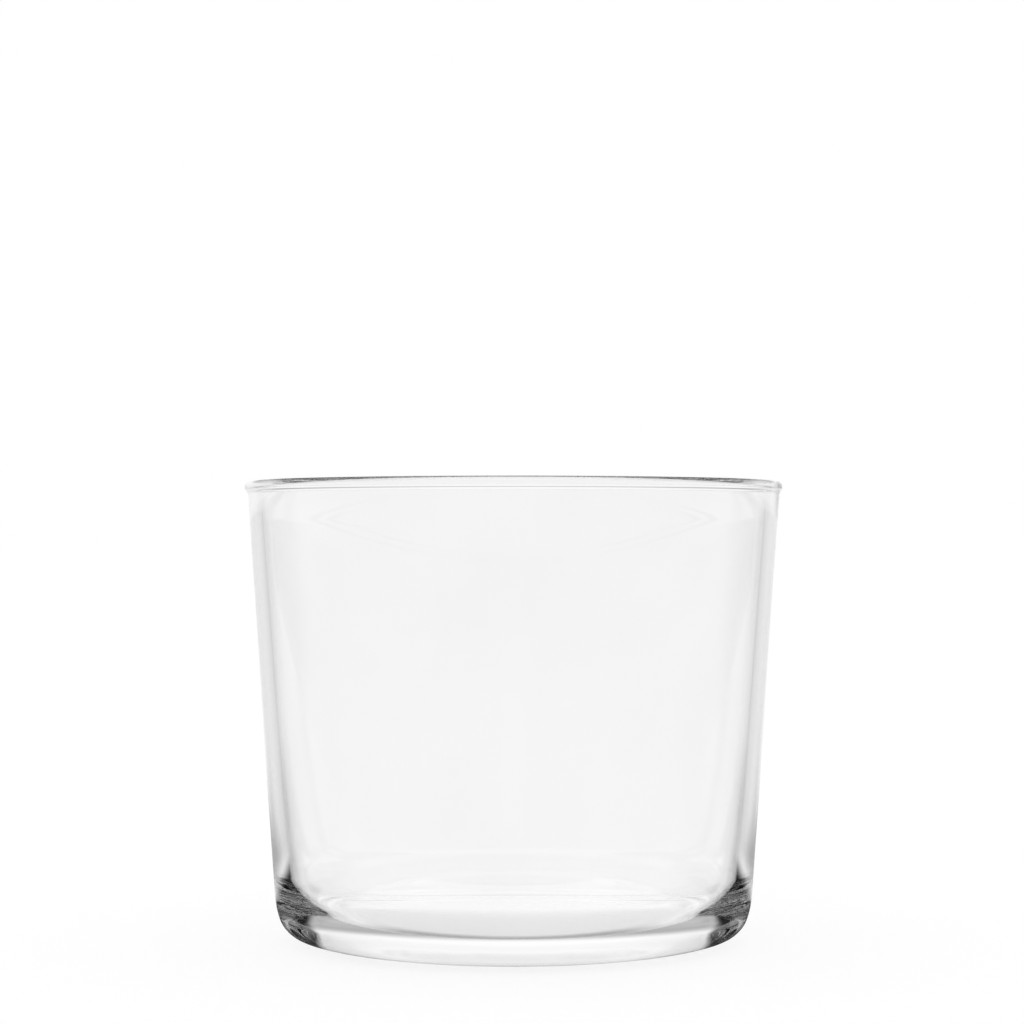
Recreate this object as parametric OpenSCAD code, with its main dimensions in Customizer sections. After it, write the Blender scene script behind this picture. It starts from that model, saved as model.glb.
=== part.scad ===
// Low, wide cider tumbler: one piece of clear moulded glass, turned about the Z axis.
// Millimetres, +Z up, origin on the table at the centre of the base.
// Section points are [radius, height].

/* [Body] */
// Height from the table to the top of the lip
glass_h = 77; // [60:0.2:110]
// Outer diameter of the wall, carried down to the table
wall_foot_d = 78.6; // [72:0.1:86]
// Outer diameter of the wall, carried up to the height of the lip
wall_mouth_d = 89.3; // [84:0.1:110]

/* [Heel] */
// Radius of the heel where it turns under
heel_r = 5; // [4:0.1:8]
// Radius of the gentler curve that eases the wall into the heel
heel_ease_r = 15.5; // [12:0.5:40]
// Angle through which that curve turns
heel_ease_a = 14.5; // [2:0.5:20]
// Radius of the flatter curve under the heel, down to the ring that meets the table
sole_r = 30; // [20:1:45]
// Angle through which that curve turns
sole_a = 16; // [6:0.5:20]

/* [Wall] */
// Wall thickness carried up to the height of the lip
wall_mouth_t = 2.26; // [2.1:0.02:3]
// Wall thickness carried down to the table
wall_foot_t = 2.8; // [2.4:0.05:4]

/* [Lip] */
// Radius of the fire-polished lip
lip_r = 1; // [0.7:0.05:1.05]
// How far the lip stands out past the wall
lip_proud = 0.35; // [0.1:0.05:0.6]
// Radius of the hollow that runs the lip into the outside of the wall
lip_hollow_r = 1; // [0.5:0.1:3]
// Radius of the curve that opens the inside of the wall to the lip
lip_flare_r = 25; // [10:1:60]

/* [Base] */
// Thickness of the base on the axis
base_t = 3; // [2.2:0.1:6]
// Radius of the inside corner where it turns into the floor
corner_r = 6.9; // [4:0.1:11]
// Radius of the gentler curve by which the wall thickens towards the base
swell_r = 15; // [12:0.5:50]
// Angle through which that curve turns
swell_a = 20; // [4:0.5:26]
// Width of the flat ring that meets the table
ring_w = 1.5; // [0.8:0.1:4]
// Depth of the shallow hollow inside that ring
push_up = 0.15; // [0.1:0.05:0.5]

/* [Hidden] */
$fn = 128;

// How far a cutting shape runs past the glass
past = 1;

// Unit vector along a, and the outward normal of a wall that rises along a
function unit(a) = a / norm(a);
function outward(a) = [unit(a)[1], -unit(a)[0]];

// Normal n tilted further down by the angle a
function tilted(n, a) = [n[0] * cos(a) + n[1] * sin(a), n[1] * cos(a) - n[0] * sin(a)];

// Radius at which a point at the given height lies at offset c from the line through p
// with normal n
function at_height(p, n, c, height) = p[0] + (c - n[1] * (height - p[1])) / n[0];

// Distance from a face to the centre of a curve of radius r, with a curve of radius ease_r
// that turns by the angle a between them
function eased_inset(ease_r, r, a) = ease_r - (ease_r - r) * cos(a);

// Centre of an arc at offset c from the line through p along the unit vector d,
// a distance reach from the point q, on the lower side of q
function arc_centre(p, d, c, q, reach) =
    let (n = outward(d))
    let (along = (q - p) * d)
    let (across = (q - p) * n)
    p + (along - sqrt(reach * reach - pow(c - across, 2))) * d + c * n;

// Point where the tangents of an arc about c meet, for an arc whose ends lie at c + u and c + v
function tangents_meet(c, u, v) = c + (u + v) * (u * u) / (u * u + u * v);

// Outside of the wall, from the table to the height of the lip
out_foot = [wall_foot_d / 2, 0];
out_dir = unit([wall_mouth_d / 2, glass_h] - out_foot);
out_n = outward(out_dir);

// Inside of the wall
in_foot = out_foot - [wall_foot_t, 0];
in_dir = unit([wall_mouth_d / 2 - wall_mouth_t, glass_h] - in_foot);
in_n = outward(in_dir);

// Heel, with the curve above it that touches the outside of the wall
heel_inset = eased_inset(heel_ease_r, heel_r, heel_ease_a);
heel_h = eased_inset(sole_r, heel_r, sole_a);
heel_c = [at_height(out_foot, out_n, -heel_inset, heel_h), heel_h];
heel_n = tilted(out_n, heel_ease_a);
heel_ease_c = heel_c - (heel_ease_r - heel_r) * heel_n;
heel_join = heel_c + heel_r * heel_n;
heel_on_wall = heel_ease_c + heel_ease_r * out_n;

// Curve below the heel, which touches the table at the outer edge of the ring
sole_n = [sin(sole_a), -cos(sole_a)];
sole_c = heel_c - (sole_r - heel_r) * sole_n;
sole_join = heel_c + heel_r * sole_n;
ring_out = [sole_c[0], 0];

// Lip, and the two arcs that run it into the wall
lip_c = [wall_mouth_d / 2 + lip_proud - lip_r, glass_h - lip_r];
hollow_c = arc_centre(out_foot, out_dir, lip_hollow_r, lip_c, lip_hollow_r + lip_r);
hollow_on_wall = hollow_c - lip_hollow_r * out_n;
hollow_on_lip = lip_c + lip_r * unit(hollow_c - lip_c);
flare_c = arc_centre(in_foot, in_dir, lip_flare_r, lip_c, lip_flare_r - lip_r);
flare_on_wall = flare_c - lip_flare_r * in_n;
flare_on_lip = lip_c + lip_r * unit(lip_c - flare_c);

// Floor and inside corner: the corner touches the floor, and the swell above it
// touches the inside of the wall
floor_h = push_up + base_t;
corner_inset = eased_inset(swell_r, corner_r, swell_a);
corner_c = [at_height(in_foot, in_n, -corner_inset, floor_h + corner_r), floor_h + corner_r];
corner_n = tilted(in_n, swell_a);
swell_c = corner_c - (swell_r - corner_r) * corner_n;
swell_join = corner_c + corner_r * corner_n;
swell_on_wall = swell_c + swell_r * in_n;

// Shallow spherical hollow under the base
push_up_r = ring_out[0] - ring_w;
push_up_ball_r = (push_up_r * push_up_r + push_up * push_up) / (2 * push_up);

// Slice of a disc about c, between the chord from a to b and the arc over it
module slice(c, a, b) {
    intersection() {
        translate(c) circle(norm(a - c));
        polygon([a, tangents_meet(c, a - c, b - c), b]);
    }
}

// Half section of the whole glass filled in, up to the lip
module filled_section() {
    difference() {
        polygon([
            [0, 0],
            ring_out,
            sole_join,
            heel_c,
            heel_join,
            heel_on_wall,
            hollow_on_wall,
            hollow_on_lip,
            lip_c,
            [0, lip_c[1]]
        ]);
        translate(hollow_c) circle(lip_hollow_r);
    }
    slice(sole_c, ring_out, sole_join);
    translate(heel_c) circle(heel_r);
    slice(heel_ease_c, heel_join, heel_on_wall);
    translate(lip_c) circle(lip_r);
}

// Half section of the space that holds the drink
module inside_section() {
    difference() {
        polygon([
            [0, floor_h],
            [corner_c[0], floor_h],
            corner_c,
            swell_join,
            swell_on_wall,
            flare_on_wall,
            flare_on_lip,
            [flare_on_lip[0], glass_h + past],
            [0, glass_h + past]
        ]);
        translate(flare_c) circle(lip_flare_r);
        translate(lip_c) circle(lip_r);
    }
    translate(corner_c) circle(corner_r);
    slice(swell_c, swell_join, swell_on_wall);
}

// The glass: a filled body less the inside and the hollow under the base
module tumbler() {
    color("aliceblue", 0.35)
    rotate_extrude()
    difference() {
        filled_section();
        inside_section();
        translate([0, push_up - push_up_ball_r]) circle(push_up_ball_r);
    }
}

tumbler();
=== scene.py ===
"""A cider glass on a white table, seen as in the product photo: one turned piece of clear glass."""

import math
from types import SimpleNamespace

import bpy
import numpy as np
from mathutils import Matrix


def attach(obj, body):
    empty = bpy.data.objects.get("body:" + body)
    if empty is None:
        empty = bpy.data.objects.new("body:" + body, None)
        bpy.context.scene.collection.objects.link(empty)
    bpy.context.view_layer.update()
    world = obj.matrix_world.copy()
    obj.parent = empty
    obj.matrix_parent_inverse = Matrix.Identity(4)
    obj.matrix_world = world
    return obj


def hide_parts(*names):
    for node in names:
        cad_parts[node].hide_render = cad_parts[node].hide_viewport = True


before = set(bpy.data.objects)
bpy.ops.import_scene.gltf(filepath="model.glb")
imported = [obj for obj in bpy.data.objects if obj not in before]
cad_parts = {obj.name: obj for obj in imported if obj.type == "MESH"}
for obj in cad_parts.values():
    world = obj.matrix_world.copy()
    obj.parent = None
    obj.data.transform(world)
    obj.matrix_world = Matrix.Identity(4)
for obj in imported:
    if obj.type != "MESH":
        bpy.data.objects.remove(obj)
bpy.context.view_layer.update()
scene = bpy.context.scene
MM = 0.001

# Section of the glass, in millimetres and degrees
GLASS_H = 77.0
FOOT_D, MOUTH_D = 78.6, 89.3
HEEL_R, HEEL_EASE_R, HEEL_EASE_A = 5.0, 15.5, 14.5
SOLE_R, SOLE_A = 30.0, 16.0
FOOT_T, MOUTH_T = 2.8, 2.26
LIP_R, LIP_PROUD, LIP_HOLLOW_R, LIP_FLARE_R = 1.0, 0.35, 1.0, 25.0
BASE_T, CORNER_R, SWELL_R, SWELL_A = 3.0, 6.9, 15.0, 20.0
RING_W, PUSH_UP = 1.5, 0.15
STEPS_ROUND = 360

# Ripple on the inside of the base, in millimetres, and its waves as (turns, slope, start)
RIPPLE = 0.0015
RIPPLE_TOP, RIPPLE_TOP_FADE = 5.0, 1.5
RIPPLE_MIDDLE_R, RIPPLE_MIDDLE_FADE = 6.0, 12.0
RIPPLE_WAVES = ((29, 0.9, 0.0), (41, -0.6, 1.3), (17, 1.3, 2.1), (63, 0.4, 0.4))

# Table, in millimetres: half its width, and its height just under the glass
TABLE_HALF, TABLE_LEVEL = 30000.0, -0.02

# Camera, in millimetres and degrees
EYE_BACK, EYE_UP, EYE_TILT = 486.9, 66.67, 0.616
LENS, SENSOR, SHIFT, CLIP = 101.95, 36.0, -0.00146, 10.0

# Greys of the studio, where 1 is white: the dark room, which is also the grey of the painted dark patch on
# the table, and the painted light of a ray that has run round in the glass for long
DARK, PAINTED_LONG_RUN_LIGHT = 0.015, 0.95
# Greys by bearing from straight behind the glass, as (degrees, grey)
BAND = [(14, 0.4), (40, 0.35), (60, 0.62), (80, 0.7), (105, 0.54), (180, 0.51)]
GLEAM = [(18, 1.0), (26, 0.85), (40, 0.7), (60, 0.3)]
# The table's greys by bearing are painted shade, seen only in the glass's reflections of the table
TABLE_PAINTED_GREYS = [(11, 1.0), (17, 0.86), (30, 0.84), (44, 0.8), (80, 0.76), (100, 0.54), (180, 0.5)]
# Degrees by which the painted dark streak on the table turns aside, times the distance in metres
PAINTED_STREAK_TURN = 3.1

# Counts of reflections over which a ray becomes one reflected a few, many and very many times
FEW, MANY, MOST = (3, 6), (38, 48), (75, 100)
# Painted shade: how much of the light is taken from a ray that the near glass has reflected a few times
FEW_PAINTED_SHADE = 0.85
BOUNCES = 1000


def unit(a):
    return a / np.linalg.norm(a)


def outward(d):
    """The normal of a wall that rises along d, away from the axis."""
    return np.array([d[1], -d[0]])


def tilted(n, angle):
    """The normal n tilted further down by the angle, in degrees."""
    c, s = math.cos(math.radians(angle)), math.sin(math.radians(angle))
    return np.array([n[0] * c + n[1] * s, n[1] * c - n[0] * s])


def arc(centre, start, end, count):
    """Points of the short arc about centre from start to end, without the first one."""
    u, v = start - centre, end - centre
    a = math.atan2(u[1], u[0])
    turn = (math.atan2(v[1], v[0]) - a + math.pi) % (2 * math.pi) - math.pi
    t = a + turn * np.linspace(0, 1, count + 1)[1:]
    return centre + np.linalg.norm(u) * np.stack([np.cos(t), np.sin(t)], 1)


def line(start, end, count):
    """Points from start to end, without the first one."""
    return start + (end - start) * np.linspace(0, 1, count + 1)[1:, None]


def lip_arc_centre(foot, d, offset, lip, reach):
    """Centre at that offset from the wall's line and that reach from the lip's centre, below it."""
    n = outward(d)
    along, across = (lip - foot) @ d, (lip - foot) @ n
    return foot + (along - math.sqrt(reach**2 - (offset - across) ** 2)) * d + offset * n


def eased_inset(ease_r, r, angle):
    """Distance from a face to the centre of a curve of radius r, with one of radius ease_r between them."""
    return ease_r - (ease_r - r) * math.cos(math.radians(angle))


def eased_corner(foot, d, ease_r, r, angle, height):
    """Two tangent arcs that run a wall into its foot: the upper turns by angle, and the lower has its centre
    at that height. Gives the lower centre, the upper centre, the point where they meet and the point on the
    wall."""
    n = outward(d)
    inset = eased_inset(ease_r, r, angle)
    low = np.array([foot[0] + (-inset - n[1] * (height - foot[1])) / n[0], height])
    m = tilted(n, angle)
    high = low - (ease_r - r) * m
    return low, high, low + r * m, high + ease_r * n


def section():
    """The closed half section as [radius, height], from the axis under the base, round the outside and the
    lip, to the axis on the floor. The last number of each stretch is its count of steps."""
    out_foot = np.array([FOOT_D / 2, 0.0])
    out_d = unit(np.array([MOUTH_D / 2, GLASS_H]) - out_foot)
    in_foot = out_foot - np.array([FOOT_T, 0.0])
    in_d = unit(np.array([MOUTH_D / 2 - MOUTH_T, GLASS_H]) - in_foot)

    heel, ease, heel_join, heel_wall = eased_corner(
        out_foot, out_d, HEEL_EASE_R, HEEL_R, HEEL_EASE_A, eased_inset(SOLE_R, HEEL_R, SOLE_A))
    sole_n = np.array([math.sin(math.radians(SOLE_A)), -math.cos(math.radians(SOLE_A))])
    sole, sole_join = heel - (SOLE_R - HEEL_R) * sole_n, heel + HEEL_R * sole_n

    floor = PUSH_UP + BASE_T
    corner, swell, swell_join, swell_wall = eased_corner(
        in_foot, in_d, SWELL_R, CORNER_R, SWELL_A, floor + CORNER_R)
    corner_floor, centre_floor = np.array([corner[0], floor]), np.array([0.0, floor])

    lip = np.array([MOUTH_D / 2 + LIP_PROUD - LIP_R, GLASS_H - LIP_R])
    lip_top = lip + np.array([0.0, LIP_R])
    hollow = lip_arc_centre(out_foot, out_d, LIP_HOLLOW_R, lip, LIP_HOLLOW_R + LIP_R)
    flare = lip_arc_centre(in_foot, in_d, LIP_FLARE_R, lip, LIP_FLARE_R - LIP_R)
    hollow_wall, hollow_lip = hollow - LIP_HOLLOW_R * outward(out_d), lip + LIP_R * unit(hollow - lip)
    flare_wall, flare_lip = flare - LIP_FLARE_R * outward(in_d), lip + LIP_R * unit(lip - flare)

    ring = sole[0] - RING_W
    ring_in, ring_out = np.array([ring, 0.0]), np.array([sole[0], 0.0])
    ball = (ring**2 + PUSH_UP**2) / (2 * PUSH_UP)
    centre_below = np.array([0.0, PUSH_UP])
    return np.concatenate([
        centre_below[None],
        arc(np.array([0.0, PUSH_UP - ball]), centre_below, ring_in, 16),
        line(ring_in, ring_out, 3),
        arc(sole, ring_out, sole_join, 14),
        arc(heel, sole_join, heel_join, 34),
        arc(ease, heel_join, heel_wall, 12),
        line(heel_wall, hollow_wall, 12),
        arc(hollow, hollow_wall, hollow_lip, 10),
        arc(lip, hollow_lip, lip_top, 18),
        arc(lip, lip_top, flare_lip, 16),
        arc(flare, flare_lip, flare_wall, 8),
        line(flare_wall, swell_wall, 14),
        arc(swell, swell_wall, swell_join, 18),
        arc(corner, swell_join, corner_floor, 40),
        line(corner_floor, centre_floor, 40),
    ])


def ripple(rows, angle):
    """Faint waves that the mould leaves on the inside of the base: a sum of spiral waves, each the sine of a
    whole number of turns of the angle plus a slope times the sum of radius and height. They fade out up the
    corner and towards the middle of the floor."""
    r, z = rows.T
    inside = np.arange(len(rows)) > np.argmax(z)
    low_down = np.clip((RIPPLE_TOP - z) / RIPPLE_TOP_FADE, 0, 1)
    off_middle = np.clip((r - RIPPLE_MIDDLE_R) / RIPPLE_MIDDLE_FADE, 0, 1)
    waves = sum(np.sin(turns * angle + slope * (r + z) + start) for turns, slope, start in RIPPLE_WAVES)
    return RIPPLE * inside * low_down * off_middle * waves


def turned(name, points, around):
    """A surface of revolution: each section point goes round the Z axis in equal steps, moved along its
    normal by the ripple, and each end point on the axis is one vertex that closes the surface with a fan."""
    rows = points[1:-1]
    count = len(rows)
    angle = np.linspace(0, 2 * math.pi, around, endpoint=False)[:, None]
    along = np.gradient(rows, axis=0)
    along = along / np.linalg.norm(along, axis=1, keepdims=True)
    wave = ripple(rows, angle)
    r, z = rows[:, 0] + wave * along[:, 1], rows[:, 1] - wave * along[:, 0]
    ring = np.stack([r * np.cos(angle), r * np.sin(angle), z], 2)
    ends = np.array([[0.0, 0.0, points[0, 1]], [0.0, 0.0, points[-1, 1]]])
    co = np.concatenate([ring.reshape(-1, 3), ends]) * MM

    here = np.arange(around)[:, None] * count
    beyond = np.roll(here, -1, 0)
    row = np.arange(count - 1)[None]
    quads = np.stack([here + row, beyond + row, beyond + row + 1, here + row + 1], 2).reshape(-1, 4)
    first, last = here[:, 0], here[:, 0] + count - 1
    low_end, high_end = np.full(around, around * count), np.full(around, around * count + 1)
    fan_low = np.stack([beyond[:, 0], first, low_end], 1)
    fan_high = np.stack([last, beyond[:, 0] + count - 1, high_end], 1)
    mesh = bpy.data.meshes.new(name)
    mesh.from_pydata(co.tolist(), [], quads.tolist() + fan_low.tolist() + fan_high.tolist())
    mesh.polygons.foreach_set("use_smooth", np.ones(len(mesh.polygons), bool))
    mesh.update()
    piece = bpy.data.objects.new(name, mesh)
    scene.collection.objects.link(piece)
    return piece


def ramp(tree, value, stops):
    """A smooth grey scale along value: stops are (place from 0 to 1, grey)."""
    node = tree.nodes.new("ShaderNodeValToRGB")
    node.color_ramp.interpolation = "EASE"
    elements = node.color_ramp.elements
    for place, _ in stops[2:]:
        elements.new(place)
    for element, (place, grey) in zip(elements, stops):
        element.position = place
        element.color = (grey, grey, grey, 1)
    tree.links.new(value, node.inputs["Fac"])
    return node.outputs["Color"]


def by_bearing(tree, bearing, stops):
    """Grey along the bearing: stops are (degrees, grey)."""
    return ramp(tree, bearing, [(angle / 180, grey) for angle, grey in stops])


def math_node(tree, operation, a, b=None):
    """One sum: a and b are numbers or sockets."""
    node = tree.nodes.new("ShaderNodeMath")
    node.operation = operation
    for socket, value in zip(node.inputs, (a, b)):
        if isinstance(value, (int, float)):
            socket.default_value = value
        elif value is not None:
            tree.links.new(value, socket)
    return node.outputs[0]


def product(tree, first, *rest):
    for factor in rest:
        first = math_node(tree, "MULTIPLY", first, factor)
    return first


def between(tree, share, low, high):
    """The number low where share is 0, high where it is 1."""
    return math_node(tree, "ADD", math_node(tree, "MULTIPLY", share, high - low), low)


def light_left(tree, shades):
    """What is left of a light of 1 after each shade, given as (share, depth), has taken its part."""
    return product(tree, *[between(tree, share, 1.0, 1.0 - depth) for share, depth in shades])


def smooth(tree, value, low, high):
    """0 where value is at low, 1 where it is at high, and a smooth rise between them."""
    node = tree.nodes.new("ShaderNodeMapRange")
    node.interpolation_type = "SMOOTHSTEP"
    node.inputs["From Min"].default_value = low
    node.inputs["From Max"].default_value = high
    tree.links.new(value, node.inputs["Value"])
    return node.outputs["Result"]


def smooth_deg(tree, bearing, low, high):
    """The smooth rise between two bearings, in degrees."""
    return smooth(tree, bearing, low / 180, high / 180)


def smooth_mm(tree, length, low, high):
    """The smooth rise between two lengths, in millimetres."""
    return smooth(tree, length, low * MM, high * MM)


def grey_mix(tree, share, a, b):
    """Grey a where share is 0 and b where it is 1."""
    node = tree.nodes.new("ShaderNodeMix")
    node.data_type = "RGBA"
    tree.links.new(share, node.inputs[0])
    for socket, value in ((node.inputs[6], a), (node.inputs[7], b)):
        if isinstance(value, float):
            socket.default_value = (value, value, value, 1)
        else:
            tree.links.new(value, socket)
    return node.outputs[2]


def places(tree, output):
    """Where a ray ends: its distance beside the glass, Y, Z, its distance from the origin, and the bearing
    from straight behind the glass, where 0 to 1 is 0 to 180 degrees, the same to the left and the right."""
    where = tree.nodes.new("ShaderNodeTexCoord").outputs[output]
    axes = tree.nodes.new("ShaderNodeSeparateXYZ")
    tree.links.new(where, axes.inputs[0])
    x, y, z = axes.outputs
    beside = math_node(tree, "ABSOLUTE", x)
    bearing = math_node(tree, "DIVIDE", math_node(tree, "ARCTAN2", beside, y), math.pi)
    length = tree.nodes.new("ShaderNodeVectorMath")
    length.operation = "LENGTH"
    tree.links.new(where, length.inputs[0])
    return SimpleNamespace(beside=beside, y=y, z=z, far=length.outputs["Value"], bearing=bearing)


def met_glass(tree):
    """Shares of a ray that has met the glass and no matt surface: that it has (met), that the glass has
    reflected it (back), that it has stayed outside the glass (outside), that the near glass has reflected it
    a few times (few), that the far glass has (veiled), and that it has been reflected many times (many) and
    very many times (most)."""
    path = tree.nodes.new("ShaderNodeLightPath").outputs
    first = math_node(tree, "LESS_THAN", path["Diffuse Depth"], 0.5)
    met = math_node(tree, "MAXIMUM", path["Is Glossy Ray"], path["Is Transmission Ray"])
    back = math_node(tree, "GREATER_THAN", path["Glossy Depth"], 0.5)
    outside = product(tree, back, math_node(tree, "LESS_THAN", path["Transmission Depth"], 0.5))
    few, many, most = [smooth(tree, path["Glossy Depth"], low, high) for low, high in (FEW, MANY, MOST)]
    veiled = product(tree, few, math_node(tree, "GREATER_THAN", path["Transmission Depth"], 3.5))
    few = math_node(tree, "SUBTRACT", few, veiled)
    shares = dict(met=met, back=back, outside=outside, few=few, veiled=veiled, many=many, most=most)
    return SimpleNamespace(**{name: product(tree, share, first) for name, share in shares.items()})


def glass_material():
    """Clear soda-lime glass. Its faint grey tint varies a little, as in moulded glass."""
    material = bpy.data.materials.new("clear_glass")
    material.use_nodes = True
    tree = material.node_tree
    shader = tree.nodes["Principled BSDF"]
    shader.inputs["Transmission Weight"].default_value = 1.0
    shader.inputs["Roughness"].default_value = 0.0
    shader.inputs["IOR"].default_value = 1.52
    where = tree.nodes.new("ShaderNodeTexCoord")
    cloud = tree.nodes.new("ShaderNodeTexNoise")
    cloud.inputs["Scale"].default_value = 40.0
    tree.links.new(where.outputs["Object"], cloud.inputs["Vector"])
    tint = ramp(tree, cloud.outputs["Fac"], [(0.3, 0.985), (0.7, 1.0)])
    tree.links.new(tint, shader.inputs["Base Color"])
    return material


def studio():
    """White all round to the camera and as light on the table. Straight through the glass it is white low
    down and greyer above. The glass reflects a dark room with a white screen behind, a low light band round
    the sides, which reaches higher in front, and a softbox overhead that ends short of the camera. Its
    outside alone reflects a gleam that fades to the sides. For a ray that the near glass has reflected a few
    times, a painted shade takes most of the light away, and a ray that has run round in the glass for long,
    or in the far glass, sees a painted light that is nearly white."""
    world = bpy.data.worlds.new("studio")
    scene.world = world
    world.use_nodes = True
    tree = world.node_tree
    at = places(tree, "Generated")
    ray = met_glass(tree)

    band = by_bearing(tree, at.bearing, BAND)
    off_front, high_up = smooth_deg(tree, at.bearing, 95, 70), smooth(tree, at.z, 0.24, 0.34)
    past_band = product(tree, smooth(tree, at.z, 0.05, 0.12), math_node(tree, "MAXIMUM", off_front, high_up))
    sides = grey_mix(tree, past_band, band, DARK)
    screen = ramp(tree, at.z, [(0.19, 1.0), (0.3, 0.5), (0.41, 0.15)])
    room = grey_mix(tree, smooth_deg(tree, at.bearing, 9, 14), screen, sides)
    # Painted shade: a ray that the near glass has reflected a few times sees the room darkened
    room = grey_mix(tree, product(tree, ray.few, FEW_PAINTED_SHADE), room, 0.0)
    softbox = product(tree, smooth(tree, at.z, 0.676, 0.701), smooth_deg(tree, at.bearing, 125, 105))
    room = grey_mix(tree, softbox, room, 1.0)
    gleam = by_bearing(tree, at.bearing, GLEAM)
    gleam = grey_mix(tree, smooth(tree, at.z, 0.19, 0.28), gleam, DARK)
    room = grey_mix(tree, ray.outside, room, gleam)

    above = grey_mix(tree, smooth(tree, at.z, 0.182, 0.276), 1.0, 0.45)
    seen = grey_mix(tree, ray.back, grey_mix(tree, ray.met, 1.0, above), room)
    # Painted light: a ray reflected many times that ends low, or very many times, or in the far glass, sees
    # near-white
    low_many = product(tree, ray.many, smooth(tree, at.z, 0.4, 0.32))
    long_run = math_node(tree, "MAXIMUM", low_many, math_node(tree, "MAXIMUM", ray.most, ray.veiled))
    seen = grey_mix(tree, long_run, seen, PAINTED_LONG_RUN_LIGHT)
    tree.links.new(seen, tree.nodes["Background"].inputs["Color"])


def table_painted_reflections(tree, at, ray):
    """Painted reflections of the table, as the glass reflects it: white close by and straight behind,
    painted greyer to the sides and in front. A painted dark streak runs off to each side, at a bearing that
    falls with the distance. Behind the glass a painted dark edge runs along each side, and beside the heel
    lies a painted dark patch. A ray that is not reflected sees white."""
    greys = by_bearing(tree, at.bearing, TABLE_PAINTED_GREYS)
    turn = math_node(tree, "DIVIDE", PAINTED_STREAK_TURN / 180, at.far)
    slant = math_node(tree, "SUBTRACT", at.bearing, turn)
    # Painted shade: a dark streak that runs off to each side
    painted_streak = product(tree, between(tree, smooth_mm(tree, at.far, 340, 130), 0.3, 0.8),
                   smooth_deg(tree, slant, 30, 41), smooth_deg(tree, slant, 50, 43))
    # Painted shade: a dark edge along each side behind the glass
    painted_edge = product(tree, smooth_mm(tree, at.beside, 110, 72),
                   smooth_deg(tree, at.bearing, 11, 19), smooth_deg(tree, at.bearing, 56, 44))
    greys = product(tree, greys, light_left(tree, ((painted_streak, 1.0), (painted_edge, 0.58))))
    greys = grey_mix(tree, smooth_mm(tree, at.far, 60, 125), 1.0, greys)
    aside = math_node(tree, "SUBTRACT", at.beside, at.y)
    # Painted shade: a dark patch beside the heel
    painted_patch = product(tree, smooth_mm(tree, at.far, 32, 33.5), smooth_deg(tree, at.bearing, 32, 40),
                   smooth_mm(tree, at.y, -14.5, -10), smooth_mm(tree, at.y, 62, 36),
                   smooth_mm(tree, aside, 85, 70))
    return grey_mix(tree, ray.back, 1.0, grey_mix(tree, painted_patch, greys, DARK))


def table_painted_shadows(tree, at, ray):
    """Painted shadows on the table at the foot of the glass, seen only by rays that have met it, as (share,
    depth): in front, the painted shadow round the ring as seen through the base, the painted shadows of the
    skirt and the sole as the glass reflects them, and all round, the heel's painted shadow in the outside of
    the glass. The last is the painted shade that a few reflections in the near glass take away."""
    ring = product(tree, smooth_mm(tree, at.far, 26.7, 30.7), smooth_mm(tree, at.far, 40, 36),
                   smooth_deg(tree, at.bearing, 118, 152), math_node(tree, "SUBTRACT", 1.0, ray.back))
    skirt_shadow = product(tree, smooth_mm(tree, at.far, 34.6, 37.1), smooth_mm(tree, at.far, 44, 38.5),
                    smooth_deg(tree, at.bearing, 95, 115), ray.back)
    sole = product(tree, smooth_mm(tree, at.far, 31.3, 30.6),
                   smooth_deg(tree, at.bearing, 112, 138), ray.back)
    aslant = between(tree, smooth_deg(tree, at.bearing, 150, 118), 0.45, 0.95)
    heel = product(tree, smooth_mm(tree, at.far, 45, 36), ray.outside, aslant)
    return (ring, 0.8), (skirt_shadow, 0.55), (sole, 0.08), (heel, 1.0), (ray.few, FEW_PAINTED_SHADE)


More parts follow.
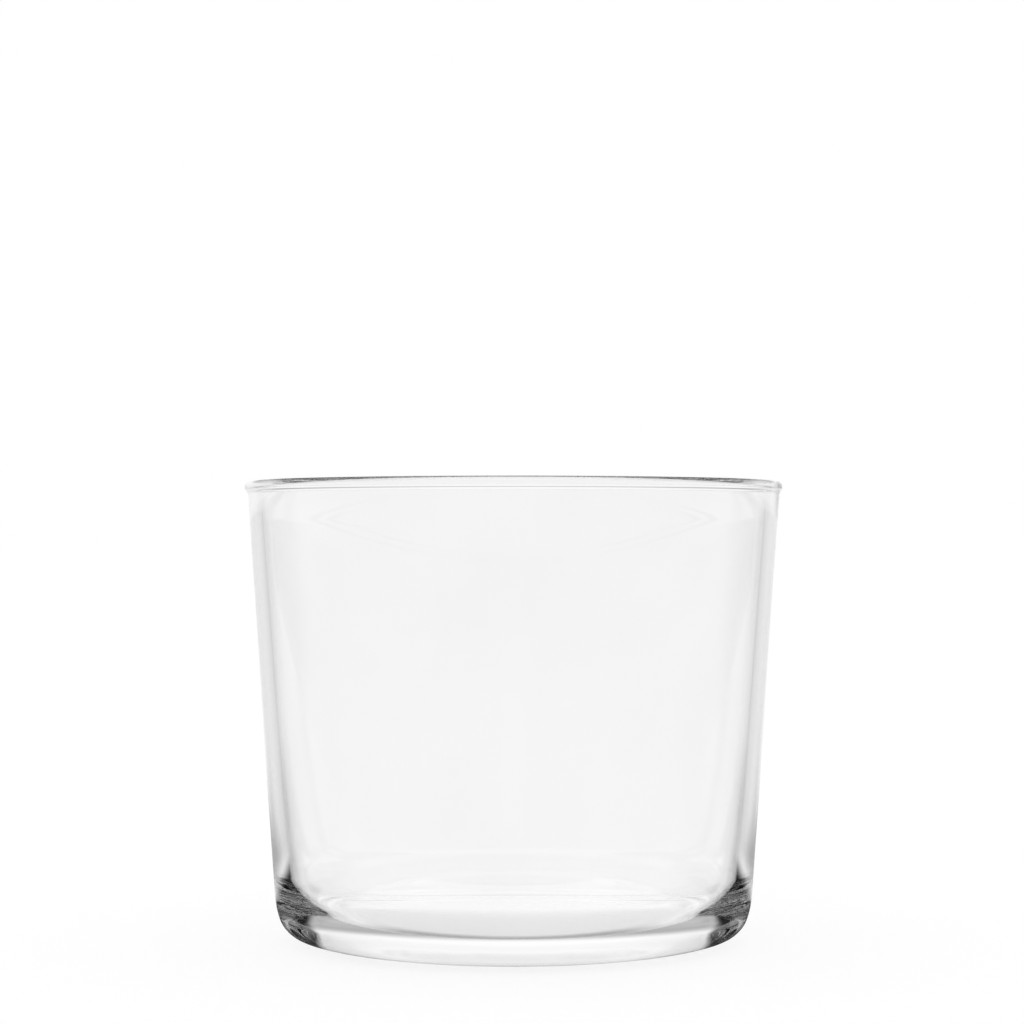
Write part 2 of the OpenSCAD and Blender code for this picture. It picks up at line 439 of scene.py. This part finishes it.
def table_material():
    """Matt white that takes the glass's soft shadow, and glows with most of its white. A ray that has met
    the
    glass sees instead a painted glow: painted reflections of greys and dark patches, painted shadows at the
    glass's foot, and painted light for rays that have run round in the glass for long.
    """
    material = bpy.data.materials.new("white_table")
    material.use_nodes = True
    tree = material.node_tree
    shader = tree.nodes["Principled BSDF"]
    shader.inputs["Base Color"].default_value = (0.2, 0.2, 0.2, 1)
    shader.inputs["Roughness"].default_value = 1.0
    shader.inputs["Specular IOR Level"].default_value = 0.0
    shader.inputs["Emission Color"].default_value = (1, 1, 1, 1)
    shader.inputs["Emission Strength"].default_value = 0.81

    at = places(tree, "Object")
    ray = met_glass(tree)
    greys = product(tree, table_painted_reflections(tree, at, ray), light_left(tree, table_painted_shadows(tree, at, ray)))
    long_run = math_node(tree, "MAXIMUM", ray.many, ray.veiled)
    # Painted glow for rays that have met the glass, in place of the matt table
    painted_glow = tree.nodes.new("ShaderNodeEmission")
    tree.links.new(grey_mix(tree, long_run, greys, PAINTED_LONG_RUN_LIGHT), painted_glow.inputs["Color"])
    pick = tree.nodes.new("ShaderNodeMixShader")
    tree.links.new(ray.met, pick.inputs[0])
    tree.links.new(shader.outputs[0], pick.inputs[1])
    tree.links.new(painted_glow.outputs[0], pick.inputs[2])
    tree.links.new(pick.outputs[0], tree.nodes["Material Output"].inputs["Surface"])
    return material


def table():
    """One wide square just under the glass."""
    half, level = TABLE_HALF * MM, TABLE_LEVEL * MM
    corners = [(-half, -half, level), (half, -half, level), (half, half, level), (-half, half, level)]
    mesh = bpy.data.meshes.new("table")
    mesh.from_pydata(corners, [], [(0, 1, 2, 3)])
    mesh.materials.append(table_material())
    top = bpy.data.objects.new("table", mesh)
    scene.collection.objects.link(top)


def camera():
    """Stands straight in front of the glass, a little below its lip, and is turned up a little."""
    lens = bpy.data.cameras.new("camera")
    lens.sensor_width = SENSOR
    lens.lens = LENS
    lens.shift_x = SHIFT
    lens.clip_start = CLIP * MM
    eye = bpy.data.objects.new("camera", lens)
    eye.location = (0.0, -EYE_BACK * MM, EYE_UP * MM)
    eye.rotation_euler = (math.radians(90 + EYE_TILT), 0.0, 0.0)
    scene.collection.objects.link(eye)
    scene.camera = eye


tumbler = turned("tumbler_glass", section(), STEPS_ROUND)
tumbler.data.materials.append(glass_material())
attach(tumbler, "root")
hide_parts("tumbler")

studio()
table()
camera()

scene.view_settings.view_transform = "Standard"
scene.cycles.max_bounces = BOUNCES
scene.cycles.transmission_bounces = BOUNCES
scene.cycles.glossy_bounces = BOUNCES
